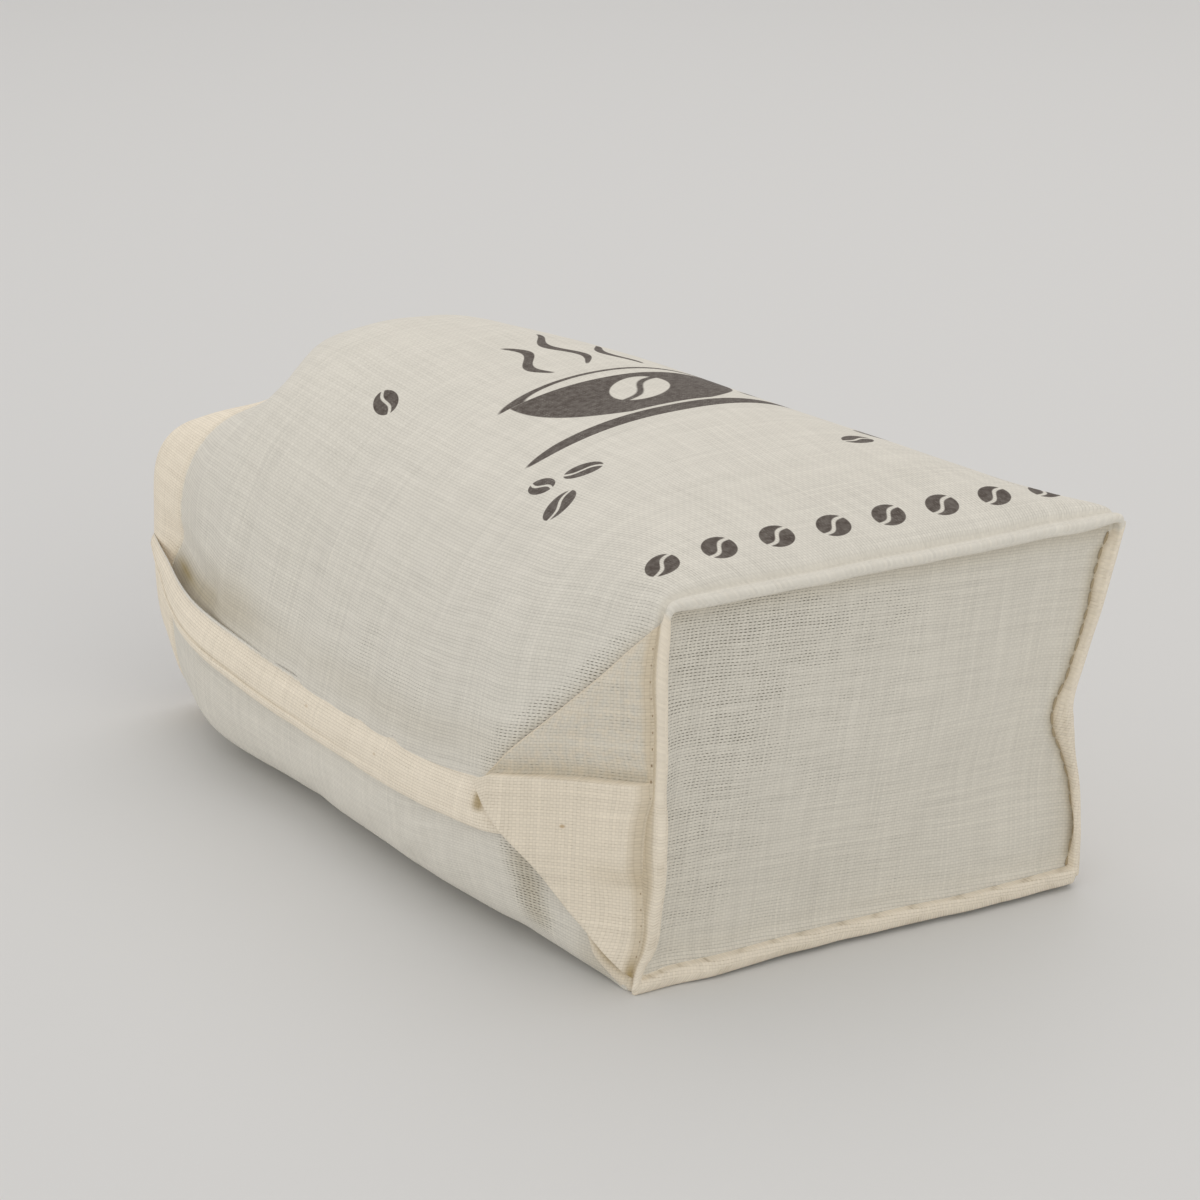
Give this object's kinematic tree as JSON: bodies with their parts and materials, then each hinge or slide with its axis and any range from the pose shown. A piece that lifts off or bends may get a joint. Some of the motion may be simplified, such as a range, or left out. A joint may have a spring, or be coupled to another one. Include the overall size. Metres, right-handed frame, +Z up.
{
  "type": "reusable cloth coffee bag",
  "caption": "Unbleached muslin coffee bag lying filled out on its back, with a flat boxed base, folded corner flaps, sewn side bands and an open hemmed mouth.",
  "frame": {"origin": "on the table under the middle of the bag's flat underside", "axes": "+Y along the bag from its base to its mouth, +Z up from the back panel to the front panel, +X to the right seen from the base"},
  "size_m": [0.1216, 0.157, 0.0804],
  "materials": {
    "muslin": "unbleached plain weave, single layer, matt and slightly sheer",
    "layered_muslin": "unbleached plain weave, several layers, matt cream"
  },
  "bodies": {
    "root": {"body_cloth": "muslin", "side_seam_left": "layered_muslin", "side_seam_right": "layered_muslin", "corner_flap_left": "layered_muslin", "corner_flap_right": "layered_muslin"}
  },
  "joints": []
}
